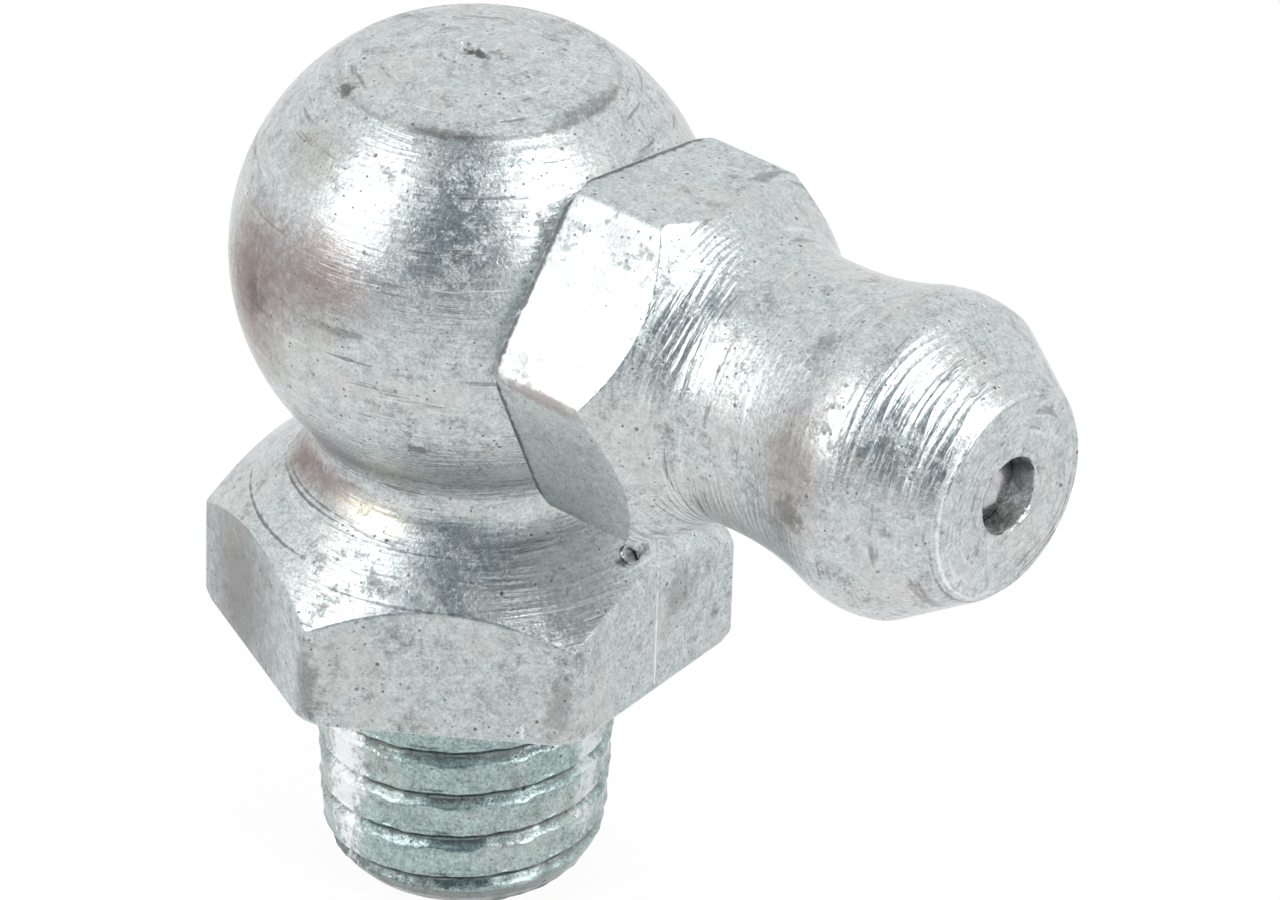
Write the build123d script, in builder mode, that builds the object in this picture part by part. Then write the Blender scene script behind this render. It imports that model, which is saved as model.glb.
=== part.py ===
from build123d import *
from math import radians, sqrt, tan
import os

os.makedirs("parts", exist_ok=True)

# Angled grease nipple. A turned elbow body screws into the machine, and a nozzle head with
# a spring-loaded check ball is pressed into its side.
# Z is the axis of the thread and X is the axis of the nozzle. Z = 0 is the face that seats
# on the machine. All sizes are in millimetres and degrees.

# Threaded shank and hexagon
thread_diameter = 6.0
thread_length = 5.3
thread_end_chamfer = 0.7
wrench_flats = 9.0
wrench_turn = 35.0
hexagon_corner_height = 2.08
underside_chamfer = 0.15
shoulder_slope = 43.0

# Ball and neck
ball_diameter = 9.42
ball_height = 8.2
neck_round = 0.9
cap_edge_diameter = 5.2
cap_rise = 0.36
pip_diameter = 0.5
pip_height = 0.05

# Grease duct and the seat for the nozzle head
duct_diameter = 2.5
seat_distance = 3.8
seat_tool_diameter = 8.0
cross_bore_overrun = 0.2
drill_point_angle = 118.0

# Nozzle head, with distances along its axis from the seat
shank_diameter = 4.0
shank_length = 2.35
collar_flats = 6.6
collar_turn = -6.0
collar_back_chamfer = 0.2
collar_corner_length = 2.13
collar_cone_slope = 43.0
collar_neck_blend = 1.8
neck_diameter = 5.45
neck_length = 1.05
bulb_diameter = 6.35
bulb_distance = 7.15
bulb_arc_radius = 2.1
bulb_edge_overrun = 0.52
head_length = 9.37
face_diameter = 4.1
face_edge_round = 0.5

# Valve
inlet_diameter = 1.5
inlet_length = 0.55
valve_bore_diameter = 2.8
rolled_rim_diameter = 1.9
rolled_rim_length = 0.3
check_ball_diameter = 2.38
valve_clearance = 0.01
wire_diameter = 0.26
spring_diameter = 2.46
spring_turns = 5.5

# Values that follow from the driving ones
thread_radius = thread_diameter / 2
hexagon_corner_radius = wrench_flats / sqrt(3)
ball_radius = ball_diameter / 2
stock_margin = 0.2
stock_radius = hexagon_corner_radius + stock_margin
shoulder_rise = tan(radians(shoulder_slope))
cap_edge_radius = cap_edge_diameter / 2
cap_edge_height = ball_height + sqrt(ball_radius**2 - cap_edge_radius**2)
cap_top = cap_edge_height + cap_rise
cap_arc_radius = (cap_edge_radius**2 + cap_rise**2) / (2 * cap_rise)
duct_radius = duct_diameter / 2
shank_radius = shank_diameter / 2
cross_bore_bottom = -duct_radius - cross_bore_overrun
drill_point_rise = tan(radians(90 - drill_point_angle / 2))

shank_end = seat_distance - shank_length
collar_corner_radius = collar_flats / sqrt(3)
collar_stock_radius = collar_corner_radius + stock_margin
collar_front = seat_distance + collar_corner_length
collar_cone_rise = tan(radians(collar_cone_slope))
neck_radius = neck_diameter / 2
collar_cone_foot = collar_front + (collar_corner_radius - neck_radius) / collar_cone_rise
neck_x = collar_cone_foot + neck_length
bulb_x = seat_distance + bulb_distance
bulb_radius = bulb_diameter / 2
bulb_edge_x = bulb_x + bulb_edge_overrun
bulb_edge_drop = bulb_arc_radius - sqrt(bulb_arc_radius**2 - bulb_edge_overrun**2)
bulb_edge_radius = bulb_radius - bulb_edge_drop
head_end = seat_distance + head_length
face_radius = face_diameter / 2

# A level stretch joins the cone's foot to the neck's arc, which runs tangent into the bulb's
# arc. That goes on past the bulb's largest diameter to the edge of the nose cone.
bulb_offset = bulb_x - neck_x
bulb_rise = bulb_radius - neck_radius
neck_arc_radius = (bulb_offset**2 + bulb_rise**2) / (2 * bulb_rise) - bulb_arc_radius
arc_ratio = neck_arc_radius / (neck_arc_radius + bulb_arc_radius)
neck_arc_end = (neck_x + bulb_offset * arc_ratio, neck_radius + bulb_rise * arc_ratio)

inlet_radius = inlet_diameter / 2
inlet_start = head_end - inlet_length
valve_bore_radius = valve_bore_diameter / 2
valve_bore_end = inlet_start - (valve_bore_radius - inlet_radius) * drill_point_rise
rolled_rim_end = shank_end + rolled_rim_length
check_ball_radius = check_ball_diameter / 2
check_ball_x = inlet_start - sqrt((check_ball_radius + valve_clearance) ** 2 - inlet_radius**2)
coil_radius = (spring_diameter - wire_diameter) / 2
ball_to_wire = check_ball_radius + wire_diameter / 2 + valve_clearance
spring_front = check_ball_x - sqrt(ball_to_wire**2 - coil_radius**2)
spring_back = rolled_rim_end + wire_diameter / 2 + valve_clearance

# Everything turned about the nozzle's axis is drawn on nozzle_plane, with X along that axis.
# The collar's back face lies in collar_plane.
nozzle_plane = Plane(origin=(0, 0, ball_height), x_dir=(1, 0, 0), z_dir=(0, -1, 0))
nozzle_axis = Axis((0, 0, ball_height), (1, 0, 0))
collar_plane = Plane(origin=(seat_distance, 0, ball_height), x_dir=(0, 1, 0), z_dir=(1, 0, 0))


# Elbow body: thread, hexagon, necked ball, all in one turned piece
with BuildPart() as elbow_body:
    with BuildSketch(Plane.XZ) as turned_outline:
        with BuildLine():
            Polyline(
                (0, -thread_length),
                (thread_radius - thread_end_chamfer, -thread_length),
                (thread_radius, -thread_length + thread_end_chamfer),
                (thread_radius, 0),
                (hexagon_corner_radius - underside_chamfer, 0),
                (stock_radius, underside_chamfer + stock_margin),
                (stock_radius, hexagon_corner_height - stock_margin * shoulder_rise),
                (0, hexagon_corner_height + hexagon_corner_radius * shoulder_rise),
                (0, -thread_length),
            )
        make_face()
        with Locations((0, ball_height)):
            Circle(ball_radius)
        # Keep the half on the positive side of the axis
        with Locations((0, ball_height)):
            Rectangle(
                stock_radius, 4 * ball_height, align=(Align.MIN, Align.CENTER), mode=Mode.INTERSECT
            )
        neck_corner = turned_outline.vertices().filter_by_position(
            Axis.Y, hexagon_corner_height, ball_height - 0.5 * ball_radius, inclusive=(False, False)
        )
        fillet(neck_corner, neck_round)
    revolve(axis=Axis.Z)

    # Wrench flats: all that lies outside the hexagon goes, up to the underside of the ball
    with BuildSketch(Plane.XY):
        Circle(stock_radius + stock_margin)
        RegularPolygon(
            wrench_flats / 2, 6, major_radius=False, rotation=wrench_turn, mode=Mode.SUBTRACT
        )
    extrude(amount=ball_height - 0.8 * ball_radius, mode=Mode.SUBTRACT)

    # Cap: the top of the ball is faced to a flatter dome
    with BuildSketch(Plane.XZ):
        with BuildLine():
            facing = RadiusArc((0, cap_top), (cap_edge_radius, cap_edge_height), cap_arc_radius)
            Polyline(
                facing @ 1,
                (ball_radius, cap_edge_height),
                (ball_radius, ball_height + 2 * ball_radius),
                (0, ball_height + 2 * ball_radius),
                facing @ 0,
            )
        make_face()
    revolve(axis=Axis.Z, mode=Mode.SUBTRACT)
    # The pip that parting off leaves in the middle of the cap
    with Locations((0, 0, cap_top - pip_height)):
        Cylinder(pip_diameter / 2, 2 * pip_height, align=(Align.CENTER, Align.CENTER, Align.MIN))

    # Seat for the nozzle head, faced on the side of the ball
    with BuildSketch(collar_plane):
        Circle(seat_tool_diameter / 2)
    extrude(amount=ball_radius, mode=Mode.SUBTRACT)

    # Cross bore for the head's shank, with its drill point
    with BuildSketch(nozzle_plane):
        with BuildLine():
            Polyline(
                (cross_bore_bottom - shank_radius * drill_point_rise, 0),
                (cross_bore_bottom, shank_radius),
                (seat_distance, shank_radius),
                (seat_distance, 0),
                close=True,
            )
        make_face()
    revolve(axis=nozzle_axis, mode=Mode.SUBTRACT)

    # Grease duct, from the end of the thread up into the cross bore
    with Locations((0, 0, -thread_length)):
        Cylinder(
            duct_radius,
            thread_length + ball_height,
            align=(Align.CENTER, Align.CENTER, Align.MIN),
            mode=Mode.SUBTRACT,
        )

elbow_body.part.label = "elbow_body"
export_step(elbow_body.part, "parts/elbow_body.step")


# Nozzle head: shank, hexagon collar, waisted neck, bulb and nose cone, in one turned piece
with BuildPart() as nozzle_head:
    with BuildSketch(nozzle_plane) as head_outline:
        with BuildLine():
            neck_arc = RadiusArc((neck_x, neck_radius), neck_arc_end, -neck_arc_radius)
            bulb_arc = TangentArc(
                neck_arc @ 1, (bulb_edge_x, bulb_edge_radius), tangent=neck_arc % 1
            )
            Polyline(
                bulb_arc @ 1,
                (head_end, face_radius),
                (head_end, 0),
                (shank_end, 0),
                (shank_end, shank_radius),
                (seat_distance, shank_radius),
                (seat_distance, collar_corner_radius - collar_back_chamfer),
                (seat_distance + collar_back_chamfer + stock_margin, collar_stock_radius),
                (collar_front - stock_margin / collar_cone_rise, collar_stock_radius),
                (collar_cone_foot, neck_radius),
                neck_arc @ 0,
            )
        make_face()
        cone_foot = head_outline.vertices().sort_by_distance((collar_cone_foot, neck_radius))[0]
        fillet(cone_foot, collar_neck_blend)
        face_edge = head_outline.vertices().sort_by_distance((head_end, face_radius))[0]
        fillet(face_edge, face_edge_round)
    revolve(axis=nozzle_axis)

    # Collar flats: all that lies outside the hexagon goes, back from the neck
    with BuildSketch(collar_plane):
        Circle(collar_stock_radius + stock_margin)
        RegularPolygon(
            collar_flats / 2, 6, major_radius=False, rotation=collar_turn, mode=Mode.SUBTRACT
        )
    extrude(amount=neck_x - seat_distance, mode=Mode.SUBTRACT)

    # Valve bore, from the rolled rim at the shank's end to the inlet hole in the face
    with BuildSketch(nozzle_plane):
        with BuildLine():
            Polyline(
                (shank_end, 0),
                (shank_end, rolled_rim_diameter / 2),
                (rolled_rim_end, rolled_rim_diameter / 2),
                (rolled_rim_end, valve_bore_radius),
                (valve_bore_end, valve_bore_radius),
                (inlet_start, inlet_radius),
                (head_end, inlet_radius),
                (head_end, 0),
                close=True,
            )
        make_face()
    revolve(axis=nozzle_axis, mode=Mode.SUBTRACT)

nozzle_head.part.label = "nozzle_head"
export_step(nozzle_head.part, "parts/nozzle_head.step")


# Check ball, closed against the inner edge of the inlet hole
with BuildPart() as check_ball:
    with Locations((check_ball_x, 0, ball_height)):
        Sphere(check_ball_radius)

check_ball.part.label = "check_ball"
export_step(check_ball.part, "parts/check_ball.step")


# Spring, from the rolled rim to the back of the ball, with its round wire drawn six-sided
with BuildPart() as spring:
    with BuildLine() as coil:
        Helix(
            pitch=(spring_front - spring_back) / spring_turns,
            height=spring_front - spring_back,
            radius=coil_radius,
            center=(spring_back, 0, ball_height),
            direction=(1, 0, 0),
        )
    with BuildSketch(Plane(origin=coil.line @ 0, z_dir=coil.line % 0)):
        RegularPolygon(wire_diameter / 2, 6)
    sweep(is_frenet=True)

spring.part.label = "spring"
export_step(spring.part, "parts/spring.step")
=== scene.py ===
from math import acos, asin, atan2, cos, degrees, exp, hypot, pi, radians, sin, sqrt, tan

import bmesh
import bpy
from mathutils import Matrix, Vector


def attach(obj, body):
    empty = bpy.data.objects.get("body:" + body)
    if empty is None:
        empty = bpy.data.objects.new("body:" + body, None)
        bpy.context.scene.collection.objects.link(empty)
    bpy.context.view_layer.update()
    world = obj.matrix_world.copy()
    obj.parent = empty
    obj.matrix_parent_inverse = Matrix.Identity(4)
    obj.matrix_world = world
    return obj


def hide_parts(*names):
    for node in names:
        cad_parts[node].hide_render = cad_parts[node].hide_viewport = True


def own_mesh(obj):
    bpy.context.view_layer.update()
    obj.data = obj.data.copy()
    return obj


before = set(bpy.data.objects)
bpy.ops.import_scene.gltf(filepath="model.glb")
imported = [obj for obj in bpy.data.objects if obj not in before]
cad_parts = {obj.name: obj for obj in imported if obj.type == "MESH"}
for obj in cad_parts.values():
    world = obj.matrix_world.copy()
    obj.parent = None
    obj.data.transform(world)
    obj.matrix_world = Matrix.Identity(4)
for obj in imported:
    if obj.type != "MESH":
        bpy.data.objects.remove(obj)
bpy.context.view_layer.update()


# ---------------------------------------------------------------- elbow body
# One piece of 9 mm hexagon bar: threaded shank, hexagon, shoulder, neck and ball. The thread is
# rolled, the rest is turned, and bright zinc is plated over it all. Sizes are in millimetres and
# angles in degrees, unless they are turned into radians; the mesh is brought to metres at the end.
BAR_ACROSS_FLATS = 9.0
BAR_TURN = 35.0
BAR_CORNER_WEAR = (0.16, 0.16, 0.16, 0.16, 0.22, 0.16)
EDGE_WEAR = 0.12
SHOULDER_SLOPE = radians(43.0)
SHOULDER_CORNER_HEIGHT = 2.08
UNDERSIDE_CHAMFER = 0.15
BALL_RADIUS = 4.71
BALL_HEIGHT = 8.2
NECK_ROUND = 0.9
CAP_EDGE_RADIUS = 2.6
CAP_RISE = 0.36
DUCT_RADIUS = 1.25
SHANK_BOTTOM = -5.3
SHANK_RADIUS = 3.0
SHANK_END_RADIUS = 2.1
SHANK_TAPER = ((-5.3, 2.2), (-5.22, 2.34), (-5.0, 2.55), (-4.7, 2.72), (-4.3, 2.81), (-2.7, 2.89),
               (-1.2, 2.96), (0.0, 3.0))
DUCT_MOUTH_CHAMFER = 0.1
PITCH = 1.0
GROOVE_HALF_WIDTH = 0.15
GROOVE_DEPTH = 0.13
GROOVE_FLANK = radians(42.0)
GROOVE_START = (-49.7, -2.5)
GROOVE_RAGGEDNESS = 0.025
GROOVE_LIP = 0.03
LIP_FROM_GROOVE = 0.05
LIP_WIDTH = 0.04
RUN_OUT_START = -0.25
RUN_OUT_LENGTH = 0.5
INSIDE_SOLID = 0.015
ROWS_PER_TURN = 28
PIP_PLACE = (-0.187, -0.137)
PIP_RIM_HEIGHT = 0.05
PIP_RIM_RADIUS = 0.26
PIP_RIM_WIDTH = 0.07
PIP_PIT_DEPTH = 0.07
PIP_PIT_WIDTH = 0.17
PIP_ZONE = 0.72
PIP_RING_SPACING = 0.06
CORNER_ANGLE = radians(35)
TO_METRES = Matrix.Scale(0.001, 4)


def bar_directions(across_flats, turn, wear, on_flat=20, on_corner=6):
    """Angle and distance from the axis of points round a hexagon bar, with each corner worn to
    its own radius"""

    def worn(side, a):
        radius = wear[side % 6]
        corner = radians(turn + 60 * side)
        centre = (across_flats / 2 - radius) / cos(radians(30))
        return Vector((centre * cos(corner) + radius * cos(corner + radians(a)),
                       centre * sin(corner) + radius * sin(corner + radians(a))))

    points = []
    for side in range(6):
        for step in range(on_corner):
            points.append(worn(side, -30 + 60 * step / on_corner))
        for step in range(on_flat):
            points.append(worn(side, 30).lerp(worn(side + 1, -30), step / on_flat))
    first = atan2(points[0][1], points[0][0])
    return [(first + (atan2(y, x) - first) % (2 * pi), hypot(x, y)) for x, y in points]


def straight(start, end, steps):
    """Points from start to end, without the end"""
    return [(start[0] + (end[0] - start[0]) * i / steps, start[1] + (end[1] - start[1]) * i / steps)
            for i in range(steps)]


def swept(centre, radius, start, end, steps):
    """Points on an arc from start to end in degrees, without the end"""
    return [(centre[0] + radius * cos(radians(start + (end - start) * i / steps)),
             centre[1] + radius * sin(radians(start + (end - start) * i / steps)))
            for i in range(steps)]


def worn_edge(before, edge, after, wear, steps=4):
    """Points that round an edge between two straight faces, from the first face to the second"""
    a = (Vector(before) - Vector(edge)).normalized()
    b = (Vector(after) - Vector(edge)).normalized()
    half = acos(max(-1, min(1, a.dot(b)))) / 2
    reach = wear / tan(half)
    centre = Vector(edge) + (a + b).normalized() * (wear / sin(half))
    start = Vector(edge) + a * reach - centre
    end = Vector(edge) + b * reach - centre
    turn = atan2(start.x * end.y - start.y * end.x, start.dot(end))
    points = []
    for i in range(steps + 1):
        t = turn * i / steps
        points.append((centre.x + start.x * cos(t) - start.y * sin(t),
                       centre.y + start.x * sin(t) + start.y * cos(t)))
    return points


def turned_mesh(name, axis, columns, paths, kinds, reference, closed, twist=None):
    """Joins one path of (radius, distance along the axis) per column into a skin round the axis.
    kinds gives the material of the band after each row; twist gives the rows that climb one
    pitch in a turn, as a thread does, and by how many rows. The UV map holds the share of a
    turn and the distance along the path from the reference row."""
    mesh = bmesh.new()
    layer = mesh.loops.layers.uv.new("turning")
    count = len(paths[0])
    verts, along = [], []
    for (angle, reach), path in zip(columns, paths):
        travelled = [0.0]
        for a, b in zip(path, path[1:]):
            travelled.append(travelled[-1] + hypot(b[0] - a[0], b[1] - a[1]))
        along.append([s - travelled[reference] for s in travelled])
        if axis == "Z":
            verts.append([mesh.verts.new((r * cos(angle), r * sin(angle), z)) for r, z in path])
        else:
            verts.append([mesh.verts.new((x, r * cos(angle), r * sin(angle))) for r, x in path])
    turns = [(c[0] - columns[0][0]) / (2 * pi) for c in columns] + [1.0]
    for i in range(len(columns)):
        j = (i + 1) % len(columns)
        for row in range(count if closed else count - 1):
            after = (row + 1) % count
            row_j, after_j = row, after
            if twist and j == 0 and twist[0] <= row < twist[1]:
                row_j = min(row + twist[2], twist[1])
                after_j = min(after + twist[2], twist[1])
            ends = [(verts[i][row], turns[i], along[i][row]),
                    (verts[j][row_j], turns[i + 1], along[j][row_j]),
                    (verts[j][after_j], turns[i + 1], along[j][after_j]),
                    (verts[i][after], turns[i], along[i][after])]
            if row_j == after_j:
                del ends[2]
            face = mesh.faces.new([end[0] for end in ends])
            face.material_index = kinds[row]
            face.smooth = True
            for loop, end in zip(face.loops, ends):
                loop[layer].uv = end[1:]
    bmesh.ops.remove_doubles(mesh, verts=mesh.verts, dist=1e-4)
    bmesh.ops.dissolve_degenerate(mesh, edges=mesh.edges, dist=1e-5)
    bmesh.ops.recalc_face_normals(mesh, faces=mesh.faces)
    data = bpy.data.meshes.new(name)
    mesh.to_mesh(data)
    mesh.free()
    piece = bpy.data.objects.new(name, data)
    bpy.context.collection.objects.link(piece)
    return piece


def settle_modifiers(piece):
    """Turns what a piece's modifiers make into its own mesh"""
    bpy.context.view_layer.update()
    made = piece.evaluated_get(bpy.context.evaluated_depsgraph_get())
    piece.data = bpy.data.meshes.new_from_object(made)
    piece.modifiers.clear()


def shank_radius(height):
    """The shank tapers a little and its end is rounded off"""
    for (low, r_low), (high, r_high) in zip(SHANK_TAPER, SHANK_TAPER[1:]):
        if height <= high:
            return r_low + (r_high - r_low) * (height - low) / (high - low)
    return SHANK_RADIUS


def thread_radius(angle, height):
    """A narrow rolled groove with a lip on each side, which runs out under the hexagon"""
    place = (height - GROOVE_START[1]) / PITCH - (degrees(angle) - GROOVE_START[0]) / 360
    away = abs(place - round(place)) * PITCH
    ragged = GROOVE_RAGGEDNESS * sin(23 * angle + 4 * height) * sin(9 * angle - 3 * height)
    depth = min(GROOVE_DEPTH, max(0.0, (GROOVE_HALF_WIDTH + ragged - away) / tan(GROOVE_FLANK)))
    fade = min(1.0, max(0.0, (RUN_OUT_START - height) / RUN_OUT_LENGTH))
    from_lip = (away - GROOVE_HALF_WIDTH - ragged - LIP_FROM_GROOVE) / LIP_WIDTH
    lip = (GROOVE_LIP + 0.8 * ragged) * exp(-from_lip ** 2)
    return shank_radius(height) - INSIDE_SOLID + (lip - depth) * fade


bar = bar_directions(BAR_ACROSS_FLATS, BAR_TURN, BAR_CORNER_WEAR)
corner_reach = BAR_ACROSS_FLATS / sqrt(3)
slope_down = (sin(SHOULDER_SLOPE), cos(SHOULDER_SLOPE))
# The neck's arc touches the shoulder's slope and the ball
lean = (corner_reach + NECK_ROUND * slope_down[0],
        SHOULDER_CORNER_HEIGHT + NECK_ROUND * slope_down[1] - BALL_HEIGHT)
half_b = lean[0] * slope_down[1] - lean[1] * slope_down[0]
reach_c = lean[0] ** 2 + lean[1] ** 2 - (BALL_RADIUS + NECK_ROUND) ** 2
slide = half_b - sqrt(half_b ** 2 - reach_c)
neck_centre = (lean[0] - slide * slope_down[1], lean[1] + BALL_HEIGHT + slide * slope_down[0])
slope_end = (neck_centre[0] - NECK_ROUND * slope_down[0], neck_centre[1] - NECK_ROUND * slope_down[1])
neck_to_ball = degrees(atan2(BALL_HEIGHT - neck_centre[1], -neck_centre[0]))
ball_to_neck = neck_to_ball - 180
cap_edge = (CAP_EDGE_RADIUS, BALL_HEIGHT + sqrt(BALL_RADIUS ** 2 - CAP_EDGE_RADIUS ** 2))
cap_arc_radius = (CAP_EDGE_RADIUS ** 2 + CAP_RISE ** 2) / (2 * CAP_RISE)
cap_centre = (0.0, cap_edge[1] + CAP_RISE - cap_arc_radius)
cap_edge_angle = degrees(acos(CAP_EDGE_RADIUS / BALL_RADIUS))
cap_start = degrees(acos(CAP_EDGE_RADIUS / cap_arc_radius))


def pip_height(angle, radius):
    """The torn pip left by parting off: a low rim round a small pit, beside the axis"""
    away = hypot(radius * cos(angle) - PIP_PLACE[0], radius * sin(angle) - PIP_PLACE[1])
    from_rim = (away - PIP_RIM_RADIUS) / PIP_RIM_WIDTH
    rim = PIP_RIM_HEIGHT * (0.7 - 0.5 * cos(angle)) * exp(-from_rim ** 2)
    return rim - PIP_PIT_DEPTH * exp(-(away / PIP_PIT_WIDTH) ** 2)


body_paths = []
thread_rows = int((PITCH - SHANK_BOTTOM) * ROWS_PER_TURN / PITCH) + 1
for angle, reach in bar:
    path = [(0.0, BALL_HEIGHT), (DUCT_RADIUS, BALL_HEIGHT), (DUCT_RADIUS, 3.0)]
    path += straight((DUCT_RADIUS, -1.0), (DUCT_RADIUS, SHANK_BOTTOM + DUCT_MOUTH_CHAMFER), 3)
    path += straight((DUCT_RADIUS + DUCT_MOUTH_CHAMFER, SHANK_BOTTOM), (SHANK_END_RADIUS, SHANK_BOTTOM), 4)
    thread_first = len(path)
    share = (angle - bar[0][0]) / (2 * pi)
    for row in range(thread_rows + 1):
        height = SHANK_BOTTOM + PITCH * (row / ROWS_PER_TURN - 1 + share)
        height = min(0.0, max(SHANK_BOTTOM, height))
        path.append((thread_radius(angle, height), height))
    thread_last = len(path) - 1
    chamfer_start = corner_reach - UNDERSIDE_CHAMFER
    inner = min(reach - 0.05, chamfer_start)
    lower = max(0.0, reach - chamfer_start)
    path += straight((SHANK_RADIUS + 0.1, 0.0), (inner, 0.0), 4)
    path += [(inner, 0.0), (reach - 0.015, max(0.0, lower - 0.015)), (reach, lower + 0.04)]
    flat_first = len(path) - 1
    top = (reach, SHOULDER_CORNER_HEIGHT + (corner_reach - reach) * tan(SHOULDER_SLOPE))
    edge = worn_edge((reach, 0.0), top, slope_end, EDGE_WEAR)
    path += straight((reach, lower + 0.1), edge[0], 8) + edge
    flat_last = len(path) - 3
    path += straight(edge[-1], slope_end, 24)[1:]
    neck_first = len(path)
    path += swept(neck_centre, NECK_ROUND, 270 - degrees(SHOULDER_SLOPE), neck_to_ball, 18)
    path += swept((0.0, BALL_HEIGHT), BALL_RADIUS, ball_to_neck, cap_edge_angle - 2.0, 60)
    before_edge = swept((0.0, BALL_HEIGHT), BALL_RADIUS, cap_edge_angle - 5.0, 90, 1)[0]
    after_edge = swept(cap_centre, cap_arc_radius, cap_start + 2.5, 90, 1)[0]
    path += worn_edge(before_edge, cap_edge, after_edge, 0.6)
    path += swept(cap_centre, cap_arc_radius, cap_start + 1.2, 87.0, 14)
    for step in range(13):
        radius = PIP_ZONE - PIP_RING_SPACING * step
        dome = cap_centre[1] + sqrt(cap_arc_radius ** 2 - radius ** 2)
        path.append((radius, dome + pip_height(angle, radius)))
    body_paths.append(path)

body_kinds = []
for row in range(len(body_paths[0])):
    if thread_first <= row < thread_last:
        body_kinds.append(2)
    elif flat_first <= row < flat_last:
        body_kinds.append(1)
    else:
        body_kinds.append(0)
elbow_body = turned_mesh("elbow_body_plated", "Z", bar, body_paths, body_kinds, neck_first,
                         closed=False, twist=(thread_first, thread_last, ROWS_PER_TURN))


class Finish:
    """A material and its nodes, with short ways to add and join them"""

    def __init__(self, name):
        self.material = bpy.data.materials.new(name)
        self.material.use_nodes = True
        self.tree = self.material.node_tree
        self.surface = self.tree.nodes["Principled BSDF"]

    def add(self, kind, **values):
        """A node; its values are set by name, and an input's by its socket's name or number"""
        node = self.tree.nodes.new("ShaderNode" + kind)
        for key, value in values.pop("inputs", {}).items():
            if hasattr(value, "is_output"):
                self.tree.links.new(value, node.inputs[key])
            else:
                node.inputs[key].default_value = value
        for key, value in values.items():
            setattr(node, key, value)
        return node

    def sum(self, operation, a, b=0.0):
        return self.add("Math", operation=operation, inputs={0: a, 1: b}).outputs[0]

    def vector(self, operation, a, b=(0.0, 0.0, 0.0)):
        node = self.add("VectorMath", operation=operation, inputs={0: a, 1: b})
        return node.outputs["Value" if operation in ("DOT_PRODUCT", "LENGTH") else "Vector"]

    def noise(self, place, scale, detail=3.0, roughness=0.55):
        inputs = {"Vector": place, "Scale": scale, "Detail": detail, "Roughness": roughness}
        return self.add("TexNoise", inputs=inputs).outputs["Fac"]

    def ramp(self, value, low, high, to_low=0.0, to_high=1.0):
        inputs = {"Value": value, "From Min": low, "From Max": high, "To Min": to_low, "To Max": to_high}
        return self.add("MapRange", inputs=inputs).outputs["Result"]

    def mix(self, share, a, b):
        node = self.add("Mix", data_type="RGBA")
        for socket, value in ((0, share), (6, a), (7, b)):
            if hasattr(value, "is_output"):
                self.tree.links.new(value, node.inputs[socket])
            else:
                node.inputs[socket].default_value = value
        return node.outputs[2]

    def join(self, output, name):
        self.tree.links.new(output, self.surface.inputs[name])


# BROWN is used only for painted reflections
BROWN = (0.24, 0.18, 0.165, 1)
DARK = (0.07, 0.07, 0.07, 1)
LIGHT = (0.88, 0.90, 0.90, 1)
DIRT = (0.13, 0.13, 0.13, 1)
YELLOWISH = (0.60, 0.59, 0.54, 1)


# Height of the bump of the plate's grain, and of tool rings of strength 1, in metres
GRAIN_BUMP = 0.00001
RING_BUMP = 0.00002
# The thread's skin as a straight taper: radius at the underside, and growth with height
THREAD_SKIN = (2.985, 0.045)


def tool_rings(f, place, axis, feed, even, smooth):
    """What the turning tool left: the height of its rings, the scored and polished lines among
    them, and the direction round the axis"""
    across = (1, 1, 0) if axis == "Z" else (0, 1, 1)
    outward = f.vector("NORMALIZE", f.vector("MULTIPLY", place, across))
    round_axis = f.vector("CROSS_PRODUCT", (0, 0, 1) if axis == "Z" else (1, 0, 0), outward)
    along = f.add("UVMap", uv_map="turning").outputs["UV"]
    along = f.add("SeparateXYZ", inputs={"Vector": along}).outputs["Y"]
    lean = f.add("SeparateXYZ", inputs={"Vector": outward})
    one, other = ("X", "Y") if axis == "Z" else ("Y", "Z")

    def ringed(per_mm, breaks, detail):
        spot = f.add("CombineXYZ", inputs={"X": f.sum("MULTIPLY", along, per_mm),
                                           "Y": f.sum("MULTIPLY", lean.outputs[one], breaks),
                                           "Z": f.sum("MULTIPLY", lean.outputs[other], breaks)})
        return f.noise(spot.outputs[0], 1.0, detail, 0.6)

    drift = f.sum("MULTIPLY", ringed(1.2, 1.0, 1.0), 0.7)
    turns = f.sum("FRACT", f.sum("MULTIPLY", f.sum("ADD", along, drift), 1 / feed))
    turns = f.sum("POWER", f.sum("ABSOLUTE", f.sum("SUBTRACT", turns, 0.5)), 2.0)
    rings = f.sum("MULTIPLY", turns, f.ramp(ringed(2.0, 2.5, 1.0), 0.35, 0.60, 0.3 * even, even))
    rings = f.sum("ADD", rings, f.sum("MULTIPLY", ringed(12.0, 4.0, 2.0), 0.8))
    rings = f.sum("ADD", rings, ringed(5.0, 1.5, 1.0))
    scored = f.ramp(ringed(3.4, 1.1, 3.0), 0.64, 0.68)
    rings = f.sum("SUBTRACT", rings, f.sum("MULTIPLY", scored, 0.5))
    if smooth:
        middle, half_width = smooth
        level = f.add("SeparateXYZ", inputs={"Vector": place}).outputs[axis]
        away = f.sum("ABSOLUTE", f.sum("SUBTRACT", level, middle))
        fainter = f.ramp(away, half_width - 0.2, half_width + 0.2, 0.3, 1.0)
        rings = f.sum("MULTIPLY", rings, fainter)
    polished = f.ramp(ringed(6.0, 1.3, 2.0), 0.64, 0.70, 0.0, 0.4)
    return rings, scored, polished, round_axis


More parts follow.
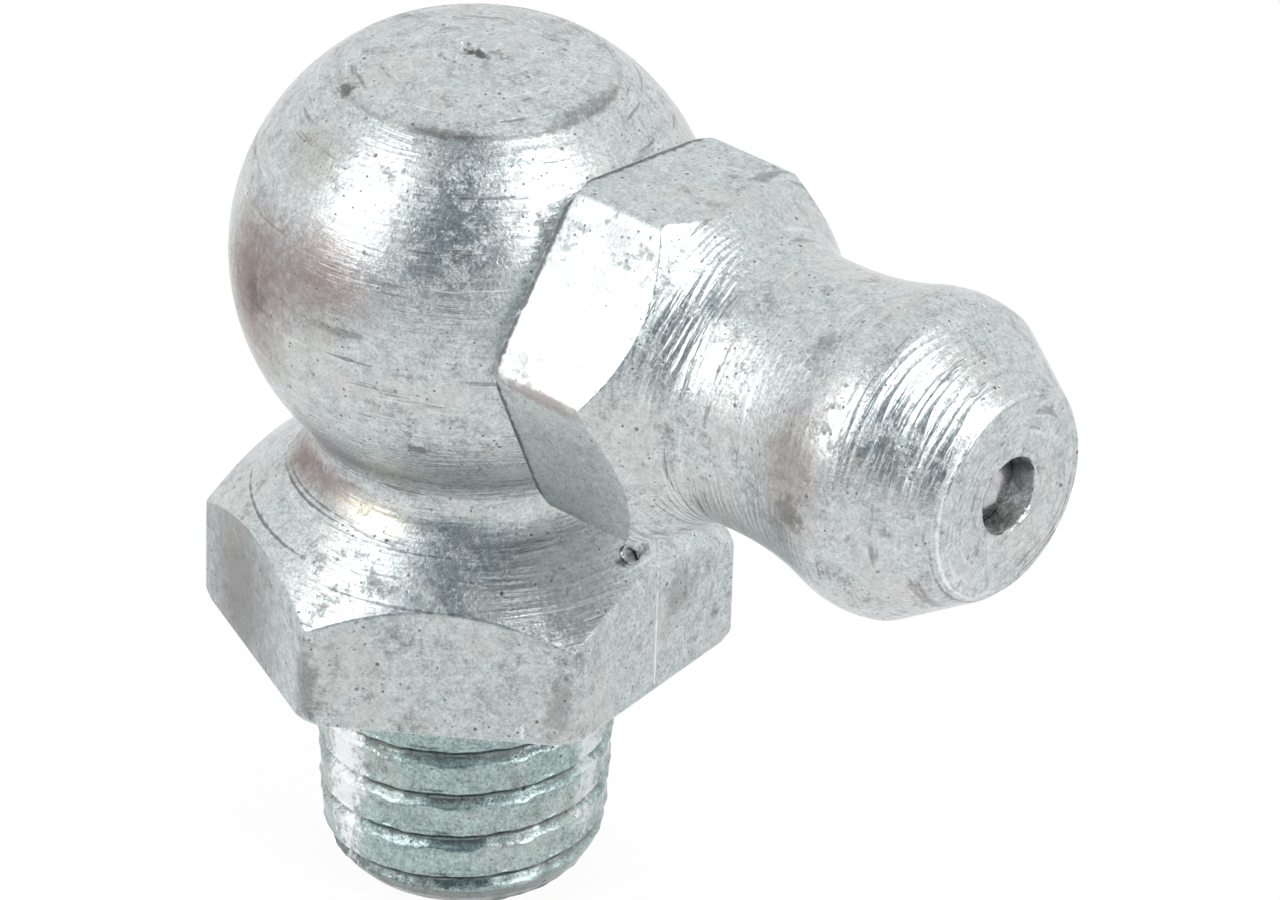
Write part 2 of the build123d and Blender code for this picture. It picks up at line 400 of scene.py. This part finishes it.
def placed(f, colour, place, spots, raggedness, core):
    """Lays spots over a colour. Each is a centre, half sizes, a colour and a strength; core is
    how far out, in half sizes, a spot keeps its full strength."""
    broken = f.sum("SUBTRACT", f.noise(place, 5.0, 4.0, 0.75), 0.5)
    for centre, half, shade, strength in spots:
        away = f.vector("LENGTH", f.vector("DIVIDE", f.vector("SUBTRACT", place, centre), half))
        away = f.sum("ADD", away, f.sum("MULTIPLY", broken, raggedness))
        colour = f.mix(f.ramp(away, 1.25, core, 0.0, strength), colour, shade)
    return colour


def zinc_plate(name, axis, axis_height=0.0, feed=0.15, rings=1.0, even=0.8, rough=(0.14, 0.26),
               dull=0.36, groove_shade=False, smooth=None, soft_painted_light=(), marks=(), tint=(1.0, 1.0, 1.0)):
    """Bright zinc over steel: a fine crystal grain, cloudy patches and dark specks. Rings left by
    the turning tool show where rings is above 0; feed is their spacing and even how strong the
    regular ones are, and smooth the middle and half width of a zone with fainter ones. The soft
    spots are painted reflections, highlights and shade. The marks have sharper edges: scratches,
    nicks and worn places, and painted highlights and shade. The groove option paints shade
    deeper in the thread's grooves."""
    f = Finish(name)
    place = f.add("TexCoord").outputs["Object"]
    place = f.add("Mapping", inputs={"Vector": place, "Location": (0, 0, -axis_height),
                                     "Scale": (1000, 1000, 1000)}).outputs["Vector"]
    grain = f.noise(place, 15.0, 4.0, 0.8)
    patches = f.noise(place, 4.2, 5.0, 0.72)
    clouds = f.noise(place, 0.55, 3.0, 0.6)

    worn = [dull * tint[0], 1.08 * dull * tint[1], 1.1 * dull * tint[2], 1]
    clean = [0.72 * tint[0], 0.76 * tint[1], 0.765 * tint[2], 1]
    share = f.sum("ADD", f.sum("MULTIPLY", f.ramp(grain, 0.38, 0.60), 0.6),
                  f.sum("MULTIPLY", f.ramp(patches, 0.38, 0.60), 0.4))
    colour = f.mix(share, worn, clean)
    colour = f.mix(f.ramp(clouds, 0.47, 0.63, 0.0, 0.35), colour, YELLOWISH)
    speck = None
    for scale, size, rarity in ((3.1, 0.17, 0.66), (7.0, 0.24, 0.60)):
        cells = f.add("TexVoronoi", inputs={"Vector": place, "Scale": scale, "Randomness": 1.0})
        spot = f.ramp(cells.outputs["Distance"], size * 0.5, size, 1.0, 0.0)
        chosen = f.add("SeparateColor", inputs={"Color": cells.outputs["Color"]}).outputs[0]
        spot = f.sum("MULTIPLY", spot, f.ramp(chosen, rarity, rarity + 0.1))
        speck = spot if speck is None else f.sum("MAXIMUM", speck, spot)
    speck = f.sum("MULTIPLY", speck, f.ramp(patches, 0.38, 0.54, 0.0, 0.9))
    blotch = f.ramp(f.noise(place, 1.6, 7.0, 0.85), 0.54, 0.68, 0.0, 0.7)
    dirt = f.sum("MAXIMUM", speck, blotch)
    colour = f.mix(dirt, colour, DIRT)

    height = f.sum("ADD", f.sum("MULTIPLY", grain, 0.8), f.sum("MULTIPLY", dirt, -0.8))
    bump = f.add("Bump", inputs={"Strength": 1.0, "Distance": GRAIN_BUMP, "Height": height})
    if rings:
        turned, scored, polished, round_axis = tool_rings(f, place, axis, feed, even, smooth)
        colour = f.mix(f.sum("MULTIPLY", scored, 0.45), colour, DARK)
        colour = f.mix(polished, colour, LIGHT)
        bump = f.add("Bump", inputs={"Strength": 1.0, "Distance": RING_BUMP * rings, "Height": turned,
                                     "Normal": bump.outputs["Normal"]})
        f.join(round_axis, "Tangent")
        f.surface.inputs["Anisotropic"].default_value = 0.65
        f.surface.inputs["Anisotropic Rotation"].default_value = 0.25
    # Painted shade: darker the deeper a point lies in the thread's grooves
    if groove_shade:
        radius = f.vector("LENGTH", f.vector("MULTIPLY", place, (1, 1, 0)))
        level = f.add("SeparateXYZ", inputs={"Vector": place}).outputs["Z"]
        skin = f.sum("ADD", f.sum("MULTIPLY", level, THREAD_SKIN[1]), THREAD_SKIN[0])
        deep = f.ramp(f.sum("SUBTRACT", skin, radius), 0.03, 0.11, 0.0, 0.6)
        colour = f.mix(deep, colour, DARK)
    # Soft painted reflections, highlights and shade go on first, then the marks
    colour = placed(f, colour, place, soft_painted_light, raggedness=1.2, core=0.3)
    colour = placed(f, colour, place, marks, raggedness=3.0, core=0.6)
    f.join(colour, "Base Color")
    roughness = f.ramp(grain, 0.3, 0.7, *rough)
    f.join(f.sum("ADD", roughness, f.sum("MULTIPLY", dirt, 0.2)), "Roughness")
    f.join(bump.outputs["Normal"], "Normal")
    f.surface.inputs["Metallic"].default_value = 1.0
    return f.material


# Painted reflections: brownish and yellowish tints on the ball and neck, standing in for warm surroundings
# mirrored there
ball_and_neck_painted_reflections = (
    ((-1.9, -4.2, 8.4), (1.4, 1.0, 1.8), BROWN, 1.0),
    ((-0.2, -4.5, 9.2), (1.5, 1.0, 1.1), BROWN, 0.65),
    ((0.1, -4.4, 9.9), (1.0, 0.8, 0.8), BROWN, 0.4),
    ((0.9, -4.4, 9.4), (1.0, 0.8, 0.5), BROWN, 0.35),
    ((-1.0, -3.4, 11.3), (1.0, 0.8, 0.6), BROWN, 0.25),
    ((-1.9, -2.6, 3.95), (1.3, 0.8, 0.45), BROWN, 0.95),
    ((-0.7, -3.1, 4.0), (1.1, 0.6, 0.4), BROWN, 0.7),
    ((0.5, -3.3, 3.9), (1.1, 0.6, 0.3), (0.72, 0.66, 0.52, 1), 0.6))
cap_marks = (
    ((0, 0, 12.07), (9, 9, 0.035), (0.2, 0.18, 0.16, 1), 0.3),
    ((1.2, -2.3, 12.08), (1.0, 0.5, 0.07), DARK, 0.5),
    ((2.55, 0.3, 12.1), (0.4, 1.2, 0.1), DARK, 0.4),
    ((-1.25, -2.35, 12.07), (0.2, 0.25, 0.12), DARK, 0.7),
    ((0.05, -0.1, 12.5), (0.3, 0.1, 0.3), DARK, 0.9))
ball_marks = (
    ((0.7, -4.6, 8.6), (0.7, 0.4, 0.1), DARK, 0.4),
    ((-1.6, -4.45, 8.3), (0.3, 0.3, 0.35), DARK, 0.5),
    ((1.97, -3.78, 6.2), (0.25, 0.25, 0.1), DARK, 0.6))
# Lines scored round the shoulder, and painted shadow under the burr
shoulder_lines_and_burr_shadow = (
    ((-1.2, -3.1, 3.58), (1.7, 0.9, 0.02), DARK, 0.7),
    ((-1.0, -3.1, 3.66), (1.4, 0.9, 0.015), DARK, 0.6),
    ((-2.0, -3.5, 2.95), (2.2, 1.6, 0.025), DARK, 0.7),
    ((1.2, -3.5, 3.5), (1.6, 0.7, 0.02), DARK, 0.5),
    ((1.6, -4.0, 2.75), (1.8, 0.9, 0.02), DARK, 0.5),
    ((4.1, 0.1, 3.05), (0.25, 0.4, 0.1), DARK, 0.7))
elbow_body.data.materials.append(zinc_plate(
    "zinc_on_turned_body", "Z", rings=0.75, soft_painted_light=ball_and_neck_painted_reflections,
    marks=cap_marks + ball_marks + shoulder_lines_and_burr_shadow))
# Painted shade: the hexagon's left face made darker, standing in for a darker reflection
hexagon_face_painted_shade = (((-2.7, -3.8, 1.2), (2.6, 1.1, 2.6), (0.2, 0.185, 0.185, 1), 0.8),)
hexagon_marks = (
    ((0.4, -5.1, 0.9), (0.3, 0.4, 0.9), DARK, 0.5),
    ((4.5, 0.43, 1.3), (0.3, 0.025, 1.3), LIGHT, 0.9),
    ((3.97, -2.76, 0.25), (0.1, 0.03, 0.2), LIGHT, 0.9),
    ((4.45, 1.2, 1.9), (0.3, 0.6, 0.5), DARK, 0.35),
    ((4.5, -2.4, 0.9), (0.25, 0.4, 0.8), DARK, 0.35))
elbow_body.data.materials.append(zinc_plate(
    "zinc_on_bar_flats", "Z", rings=0.0, rough=(0.25, 0.4), dull=0.3, tint=(0.97, 1.0, 1.0),
    soft_painted_light=hexagon_face_painted_shade, marks=hexagon_marks))
# Painted highlights: near-white strips down the thread's crests
thread_painted_highlights = (
    ((-0.75, -2.9, -2.6), (0.6, 0.4, 2.6), LIGHT, 1.0),
    ((2.95, 0.5, -2.3), (0.3, 0.4, 2.0), LIGHT, 0.6))
elbow_body.data.materials.append(zinc_plate(
    "zinc_on_rolled_thread", "Z", rings=0.0, rough=(0.12, 0.24), dull=0.24, groove_shade=True,
    tint=(0.69, 0.82, 0.80), marks=thread_painted_highlights))

# The cross bore and the flat for the nozzle head are cut with one tool
SEAT_DISTANCE = 3.8
SEAT_TOOL_RADIUS = 4.0
CROSS_BORE_RADIUS = 2.0
CROSS_BORE_BOTTOM = -1.45
DRILL_POINT = 0.6
TOOL_COLUMNS = 96
past_ball = SEAT_DISTANCE + 3
round_columns = [(2 * pi * i / TOOL_COLUMNS, 1.0) for i in range(TOOL_COLUMNS)]
tool_path = [(0.0, CROSS_BORE_BOTTOM - DRILL_POINT * CROSS_BORE_RADIUS),
             (CROSS_BORE_RADIUS, CROSS_BORE_BOTTOM), (CROSS_BORE_RADIUS, SEAT_DISTANCE),
             (SEAT_TOOL_RADIUS, SEAT_DISTANCE), (SEAT_TOOL_RADIUS, past_ball), (0.0, past_ball)]
tool = turned_mesh("seat_tool", "X", round_columns, [tool_path] * TOOL_COLUMNS,
                   [0] * len(tool_path), 0, closed=False)
tool.data.transform(Matrix.Translation((0, 0, BALL_HEIGHT)))
cut = elbow_body.modifiers.new("seat", "BOOLEAN")
cut.object = tool
cut.solver = "EXACT"
settle_modifiers(elbow_body)
bpy.data.objects.remove(tool)
# A curled burr hangs on where the shoulder meets the bar's corner under the nozzle. Its curl
# opens a little from start to end, and its wire thins out at both ends.
BURR_PLACE = Vector((4.13, 0.02, 3.12))
BURR_RING = 0.15
BURR_WIRE = 0.045
BURR_START = -60
BURR_SWEEP = 400
BURR_STEPS = 24
BURR_OPENING = 0.35
BURR_SIDE = Vector((0.1, 1, 0))
BURR_RISE = Vector((-0.73, 0, 0.68))
BURR_AXIS = Vector((0.68, 0, 0.73))
mesh = bmesh.new()
mesh.from_mesh(elbow_body.data)
loops = []
for step in range(BURR_STEPS + 1):
    turn = radians(BURR_START + BURR_SWEEP * step / BURR_STEPS)
    reach = BURR_RING * (1.0 + BURR_OPENING * step / BURR_STEPS)
    thick = BURR_WIRE * (1.0 - 0.6 * abs(step / (BURR_STEPS / 2) - 1) ** 3)
    middle = BURR_PLACE + reach * (cos(turn) * BURR_SIDE + sin(turn) * BURR_RISE)
    out = (middle - BURR_PLACE).normalized()
    loops.append([mesh.verts.new(middle + thick * (cos(radians(60 * k)) * out
                                                   + sin(radians(60 * k)) * BURR_AXIS))
                  for k in range(6)])
fresh = []
for a, b in zip(loops, loops[1:]):
    fresh += [mesh.faces.new((a[k], b[k], b[(k + 1) % 6], a[(k + 1) % 6])) for k in range(6)]
fresh += [mesh.faces.new(loops[0]), mesh.faces.new(loops[-1])]
bmesh.ops.recalc_face_normals(mesh, faces=fresh)
for face in fresh:
    face.smooth = True
mesh.to_mesh(elbow_body.data)
mesh.free()
elbow_body.data.transform(TO_METRES)
elbow_body.data.set_sharp_from_angle(angle=CORNER_ANGLE)
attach(elbow_body, "nipple")
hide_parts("elbow_body")


# ---------------------------------------------------------------- nozzle head
# One piece turned from a smaller hexagon bar: collar, waisted neck, bulb and nose, pressed by its
# plain shank into the ball. The shank's rim is rolled in behind the valve spring, and the end
# face keeps a thin lip from facing. Zinc plated like the body.
COLLAR_ACROSS_FLATS = 6.6
COLLAR_TURN = -6.0
COLLAR_CORNER_WEAR = (0.15, 0.2, 0.3, 0.2, 0.12, 0.15)
COLLAR_BACK_CHAMFER = 0.2
COLLAR_FRONT = 5.93
COLLAR_SLOPE = radians(43.0)
HEAD_SHANK_END = 1.45
NECK_RADIUS = 2.725
NECK_LENGTH = 1.05
BLEND_RADIUS = 1.8
BULB_PLACE = (3.175, 10.95)
BULB_ARC_RADIUS = 2.1
BULB_EDGE_OVERRUN = 0.52
HEAD_END = 13.17
FACE_RADIUS = 2.05
FACE_ROUND = 0.5
LIP_RADIUS = 1.97
LIP_HEIGHT = 0.035
FACE_LIP_WIDTH = 0.035
INLET_RADIUS = 0.75
INLET_LENGTH = 0.55
INLET_SEAT_LENGTH = 0.39
VALVE_BORE_RADIUS = 1.4
ROLLED_RIM_RADIUS = 0.95

collar = bar_directions(COLLAR_ACROSS_FLATS, COLLAR_TURN, COLLAR_CORNER_WEAR)
collar_reach = COLLAR_ACROSS_FLATS / sqrt(3)
cone_foot = (NECK_RADIUS, COLLAR_FRONT + (collar_reach - NECK_RADIUS) / tan(COLLAR_SLOPE))
neck_place = (NECK_RADIUS, cone_foot[1] + NECK_LENGTH)
# The neck's arc starts level and runs on into the bulb's arc, which ends at the nose's edge
run = BULB_PLACE[1] - neck_place[1]
rise = BULB_PLACE[0] - neck_place[0]
neck_arc_radius = (run ** 2 + rise ** 2) / (2 * rise) - BULB_ARC_RADIUS
bend = degrees(asin(run / (neck_arc_radius + BULB_ARC_RADIUS)))
bulb_centre = (BULB_PLACE[1], BULB_PLACE[0] - BULB_ARC_RADIUS)
past = degrees(asin(BULB_EDGE_OVERRUN / BULB_ARC_RADIUS))
bulb_arc = [(r, x) for x, r in swept(bulb_centre, BULB_ARC_RADIUS, 90.0 - past, 90.0 + bend, 18)]
nose_foot = (FACE_RADIUS, HEAD_END)
face_corner = worn_edge((INLET_RADIUS, HEAD_END), nose_foot, bulb_arc[0], FACE_ROUND, steps=24)

head_paths = []
for angle, reach in collar:
    path = worn_edge((INLET_RADIUS, HEAD_END - 0.5), (INLET_RADIUS, HEAD_END), (2.0, HEAD_END), 0.06)
    path += straight((INLET_RADIUS + 0.08, HEAD_END), face_corner[0], 10)
    for r, x in face_corner:
        ridge = LIP_HEIGHT * exp(-((r - LIP_RADIUS) / FACE_LIP_WIDTH) ** 2)
        path.append((r + 0.5 * ridge, min(HEAD_END, x + 0.9 * ridge)))
    crown = worn_edge(face_corner[-1], bulb_arc[0], bulb_arc[1], 0.05)
    path += straight(face_corner[-1], crown[0], 26)[1:] + crown + bulb_arc[1:]
    path += [(r, x) for x, r in swept((neck_place[1], NECK_RADIUS + neck_arc_radius), neck_arc_radius,
                                      270.0 + bend, 270.0, 16)]
    blend = worn_edge(neck_place, cone_foot, (collar_reach, COLLAR_FRONT), BLEND_RADIUS, steps=14)
    path += straight(neck_place, blend[0], 3) + blend
    front = (reach, COLLAR_FRONT + (collar_reach - reach) / tan(COLLAR_SLOPE))
    edge = worn_edge(blend[-1], front, (reach, SEAT_DISTANCE), 0.08)
    path += straight(blend[-1], edge[0], 12)[1:] + edge
    flat_start = len(path) - 3
    chamfer_start = collar_reach - COLLAR_BACK_CHAMFER
    inner = min(reach - 0.04, chamfer_start)
    lower = SEAT_DISTANCE + max(0.0, reach - chamfer_start)
    path += straight(edge[-1], (reach, lower + 0.04), 8)[1:]
    path += [(reach, lower + 0.04), (reach - 0.012, max(SEAT_DISTANCE, lower - 0.012)),
             (inner, SEAT_DISTANCE)]
    flat_end = len(path) - 2
    path += [(2.8, SEAT_DISTANCE), (CROSS_BORE_RADIUS, SEAT_DISTANCE), (CROSS_BORE_RADIUS, 2.6),
             (CROSS_BORE_RADIUS, HEAD_SHANK_END), (ROLLED_RIM_RADIUS, HEAD_SHANK_END),
             (ROLLED_RIM_RADIUS, HEAD_SHANK_END + 0.3), (VALVE_BORE_RADIUS, HEAD_SHANK_END + 0.3),
             (VALVE_BORE_RADIUS, 7.0), (VALVE_BORE_RADIUS, HEAD_END - INLET_LENGTH - INLET_SEAT_LENGTH),
             (INLET_RADIUS, HEAD_END - INLET_LENGTH)]
    head_paths.append(path)
head_kinds = [0] * len(head_paths[0])
for row in range(flat_start, flat_end):
    head_kinds[row] = 1
nozzle_head = turned_mesh("nozzle_head_plated", "X", collar, head_paths, head_kinds, 0, closed=True)
nozzle_head.data.transform(TO_METRES @ Matrix.Translation((0, 0, BALL_HEIGHT)))
nozzle_head.data.set_sharp_from_angle(angle=CORNER_ANGLE)
# Painted reflections: brownish tints on the neck and bulb, standing in for warm surroundings mirrored
# there
bulb_painted_reflections = (
    ((10.4, -2.8, 1.0), (1.1, 1.0, 1.2), BROWN, 0.5),
    ((10.3, -3.0, 0.0), (1.0, 0.8, 1.2), BROWN, 0.3))
# Nicks on the neck and bulb, a painted highlight along the end face's lip with painted shade just beside
# it, and painted shade in the inlet hole
head_nicks_and_painted_light = (
    ((9.94, -1.55, 2.53), (0.25, 0.3, 0.3), DARK, 0.35),
    ((10.5, -3.1, -0.1), (0.35, 0.3, 0.35), DARK, 0.5),
    ((5.72, 1.67, 3.14), (0.2, 0.3, 0.2), DARK, 0.4),
    ((13.12, -1.2, 0), (0.03, 1.6, 9), LIGHT, 0.8),
    ((13.02, -1.2, -1.5), (0.02, 1.4, 1.5), DARK, 0.5),
    ((12.0, 0, 0), (1.2, 1.0, 1.0), (0.2, 0.23, 0.22, 1), 0.9))
nozzle_head.data.materials.append(zinc_plate(
    "zinc_on_turned_head", "X", BALL_HEIGHT, feed=0.17, rings=1.2, even=2.6, rough=(0.1, 0.2),
    smooth=(9.5, 1.85), soft_painted_light=bulb_painted_reflections, marks=head_nicks_and_painted_light))
# Painted highlight: one collar face made lighter, as if the left lamp shone in it
collar_face_painted_highlight = (((4.9, -3.2, 1.7), (2.2, 1.3, 2.0), LIGHT, 0.75),)
# The first is painted shade in the crease against the ball
collar_crease_shade_and_marks = (
    ((3.86, 0, 0), (0.07, 9, 9), DARK, 0.85),
    ((5.2, -1.85, 2.95), (0.5, 0.4, 0.35), (0.3, 0.3, 0.3, 1), 0.6),
    ((5.0, -3.75, 0.3), (1.2, 0.15, 0.2), (0.36, 0.3, 0.3, 1), 0.7),
    ((5.75, 1.67, 3.14), (0.15, 0.4, 0.2), DARK, 0.5))
nozzle_head.data.materials.append(zinc_plate(
    "zinc_on_collar_flats", "X", BALL_HEIGHT, rings=0.0, rough=(0.22, 0.36),
    soft_painted_light=collar_face_painted_highlight, marks=collar_crease_shade_and_marks))
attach(nozzle_head, "nipple")
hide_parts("nozzle_head")


# ---------------------------------------------------------------- valve
# A hardened bearing ball shuts the inlet hole from inside. A coil spring of drawn wire pushes it
# there from the rolled rim. The ball is the solid itself; the spring is wound by a node tree.
SPRING_START = 1.89
SPRING_END = 10.932
COIL_RADIUS = 1.1
WIRE_RADIUS = 0.13
SPRING_TURNS = 5.5


def steel_finish(name, colour, roughness, scale):
    """Bare steel with a faint grain of its own"""
    f = Finish(name)
    place = f.add("TexCoord").outputs["Object"]
    grain = f.noise(place, scale, 4.0, 0.7)
    duller = (colour[0] * 0.7, colour[1] * 0.7, colour[2] * 0.7, 1)
    f.join(f.mix(f.ramp(grain, 0.35, 0.65), duller, colour), "Base Color")
    f.join(f.ramp(grain, 0.3, 0.7, roughness, roughness + 0.15), "Roughness")
    bump = f.add("Bump", inputs={"Strength": 0.2, "Distance": 0.00001, "Height": grain})
    f.join(bump.outputs["Normal"], "Normal")
    f.surface.inputs["Metallic"].default_value = 1.0
    return f.material


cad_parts["check_ball"].material_slots[0].material = steel_finish(
    "polished_ball_steel", (0.62, 0.62, 0.63, 1), 0.18, 9000.0)

tree = bpy.data.node_groups.new("valve_spring", "GeometryNodeTree")
tree.interface.new_socket("Geometry", in_out="OUTPUT", socket_type="NodeSocketGeometry")
spring_sizes = {}
for label, size in (("Turns", SPRING_TURNS), ("Coil radius", COIL_RADIUS),
                    ("Wire radius", WIRE_RADIUS), ("Length", SPRING_END - SPRING_START)):
    socket = tree.interface.new_socket(label, in_out="INPUT", socket_type="NodeSocketFloat")
    spring_sizes[socket.identifier] = size
given = tree.nodes.new("NodeGroupInput")
spiral = tree.nodes.new("GeometryNodeCurveSpiral")
spiral.inputs["Resolution"].default_value = 48
tree.links.new(given.outputs["Turns"], spiral.inputs["Rotations"])
tree.links.new(given.outputs["Coil radius"], spiral.inputs["Start Radius"])
tree.links.new(given.outputs["Coil radius"], spiral.inputs["End Radius"])
tree.links.new(given.outputs["Length"], spiral.inputs["Height"])
wire = tree.nodes.new("GeometryNodeCurvePrimitiveCircle")
wire.inputs["Resolution"].default_value = 12
tree.links.new(given.outputs["Wire radius"], wire.inputs["Radius"])
wound = tree.nodes.new("GeometryNodeCurveToMesh")
wound.inputs["Fill Caps"].default_value = True
tree.links.new(spiral.outputs["Curve"], wound.inputs["Curve"])
tree.links.new(wire.outputs["Curve"], wound.inputs["Profile Curve"])
realized = tree.nodes.new("GeometryNodeRealizeInstances")
tree.links.new(wound.outputs["Mesh"], realized.inputs["Geometry"])
finished = tree.nodes.new("GeometryNodeSetMaterial")
spring_steel = steel_finish("drawn_spring_steel", (0.48, 0.48, 0.48, 1), 0.3, 6000.0)
finished.inputs["Material"].default_value = spring_steel
tree.links.new(realized.outputs["Geometry"], finished.inputs["Geometry"])
result = tree.nodes.new("NodeGroupOutput")
tree.links.new(finished.outputs["Geometry"], result.inputs["Geometry"])

spring = bpy.data.objects.new("valve_spring_wire", bpy.data.meshes.new("valve_spring_wire"))
bpy.context.collection.objects.link(spring)
winding = spring.modifiers.new("winding", "NODES")
winding.node_group = tree
for identifier, size in spring_sizes.items():
    winding[identifier] = size
settle_modifiers(spring)
spring.data.transform(TO_METRES @ Matrix.Translation((SPRING_START, 0, BALL_HEIGHT))
                      @ Matrix.Rotation(radians(90), 4, "Y"))
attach(spring, "nipple")
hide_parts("spring")
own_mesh(spring)


# ---------------------------------------------------------------- studio
# A pale floor under the thread's end, soft lamps left and right, a pale room, and the camera.
FLOOR_HEIGHT = -0.00532
FLOOR_REACH = 2.0
WHITE_SHARE = 0.95
LAMP_TARGET = Vector((0.003, 0, 0.007))
LAMP_DISTANCE = 0.15


def toward(azimuth, height):
    """The direction at an azimuth from +X and a height above the horizon, in degrees"""
    level = cos(radians(height))
    return Vector((cos(radians(azimuth)) * level, sin(radians(azimuth)) * level, sin(radians(height))))


def worked_out(tree, operation, *values):
    """A math node on the outputs and numbers given; returns its output"""
    node = tree.nodes.new("ShaderNodeMath")
    node.operation = operation
    for socket, value in zip(node.inputs, values):
        if hasattr(value, "is_output"):
            tree.links.new(value, socket)
        else:
            socket.default_value = value
    return node.outputs[0]


floor_mesh = bpy.data.meshes.new("floor")
floor_corners = [(x * FLOOR_REACH, y * FLOOR_REACH, FLOOR_HEIGHT)
                 for x, y in ((-1, -1), (1, -1), (1, 1), (-1, 1))]
floor_mesh.from_pydata(floor_corners, [], [(0, 1, 2, 3)])
floor = bpy.data.objects.new("floor", floor_mesh)
bpy.context.collection.objects.link(floor)
paper = bpy.data.materials.new("white_paper")
paper.use_nodes = True
nodes, links = paper.node_tree.nodes, paper.node_tree.links
lit = nodes["Principled BSDF"]
lit.inputs["Base Color"].default_value = (0.86, 0.86, 0.86, 1)
lit.inputs["Roughness"].default_value = 0.9
white = nodes.new("ShaderNodeEmission")
white.inputs["Color"].default_value = (1, 1, 1, 1)
white.inputs["Strength"].default_value = 1.0
ray = nodes.new("ShaderNodeLightPath")
seen = worked_out(paper.node_tree, "MAXIMUM", ray.outputs["Is Camera Ray"], ray.outputs["Is Glossy Ray"])
seen = worked_out(paper.node_tree, "MAXIMUM", seen, ray.outputs["Is Transmission Ray"])
blend_paper = nodes.new("ShaderNodeMixShader")
links.new(worked_out(paper.node_tree, "MULTIPLY", seen, WHITE_SHARE), blend_paper.inputs[0])
links.new(lit.outputs[0], blend_paper.inputs[1])
links.new(white.outputs[0], blend_paper.inputs[2])
links.new(blend_paper.outputs[0], nodes["Material Output"].inputs["Surface"])
floor_mesh.materials.append(paper)

room = bpy.data.worlds.new("room")
bpy.context.scene.world = room
room.use_nodes = True
nodes, links = room.node_tree.nodes, room.node_tree.links
direction = nodes.new("ShaderNodeTexCoord")


def room_part(towards, low, high, both_ways=False):
    """How far a direction in the room lies towards one side, from 0 to 1"""
    part = nodes.new("ShaderNodeVectorMath")
    part.operation = "DOT_PRODUCT"
    part.inputs[1].default_value = Vector(towards).normalized()
    links.new(direction.outputs["Generated"], part.inputs[0])
    value = part.outputs["Value"]
    if both_ways:
        value = worked_out(room.node_tree, "ABSOLUTE", value)
    spread = nodes.new("ShaderNodeMapRange")
    spread.interpolation_type = "SMOOTHSTEP"
    spread.inputs["From Min"].default_value = low
    spread.inputs["From Max"].default_value = high
    links.new(value, spread.inputs["Value"])
    return spread.outputs["Result"]


# The side of the room that the camera stands on is darker and bluer between the lamps, and
# only above the floor's level
ROOM_LIGHT = 1.03
DARK_SIDE_DIMMING = -0.71
between_lamps = room_part((0.891, 0.454, 0.0), 0.56, 0.37, both_ways=True)
camera_side = room_part((0.454, -0.891, 0.0), -0.1, 0.15)
above_floor = room_part((0, 0, 1), -0.06, 0.08)
dark_side = worked_out(room.node_tree, "MULTIPLY", between_lamps, camera_side)
dark_side = worked_out(room.node_tree, "MULTIPLY", dark_side, above_floor)
strength = worked_out(room.node_tree, "MULTIPLY_ADD", dark_side, DARK_SIDE_DIMMING, ROOM_LIGHT)
links.new(strength, nodes["Background"].inputs["Strength"])
hue = nodes.new("ShaderNodeMix")
hue.data_type = "RGBA"
links.new(dark_side, hue.inputs[0])
hue.inputs[6].default_value = (0.98, 1.0, 1.0, 1)
hue.inputs[7].default_value = (0.86, 1.0, 1.08, 1)
links.new(hue.outputs[2], nodes["Background"].inputs["Color"])

for name, azimuth, height, wide, tall, watts in (("lamp_left", -116.0, 35.0, 0.047, 0.12, 0.07),
                                                 ("lamp_right", 3.0, 40.0, 0.06, 0.14, 0.125)):
    lamp = bpy.data.lights.new(name, "AREA")
    lamp.shape = "RECTANGLE"
    lamp.size = wide
    lamp.size_y = tall
    lamp.energy = watts
    holder = bpy.data.objects.new(name, lamp)
    bpy.context.collection.objects.link(holder)
    away = toward(azimuth, height)
    holder.location = LAMP_TARGET + away * LAMP_DISTANCE
    holder.rotation_euler = away.to_track_quat("Z", "Y").to_euler()

CAMERA_PLACE = (0.0945754, -0.1063008, 0.0886437)
CAMERA_AZIMUTH = -49.65676
CAMERA_HEIGHT = 30.8
CAMERA_ROLL = 1.85
camera = bpy.data.cameras.new("camera")
camera.sensor_width = 36.0
camera.lens = 240.77
camera.clip_start = 0.005
camera.clip_end = 10.0
stand = bpy.data.objects.new("camera", camera)
bpy.context.collection.objects.link(stand)
behind = toward(CAMERA_AZIMUTH, CAMERA_HEIGHT)
level_right = Vector((-sin(radians(CAMERA_AZIMUTH)), cos(radians(CAMERA_AZIMUTH)), 0))
rolled = Matrix.Rotation(radians(CAMERA_ROLL), 3, behind)
right = rolled @ level_right
up = rolled @ behind.cross(level_right)
turned = Matrix((right, up, behind)).transposed().to_4x4()
stand.matrix_world = Matrix.Translation(CAMERA_PLACE) @ turned
bpy.context.scene.camera = stand
bpy.context.scene.view_settings.view_transform = "Standard"
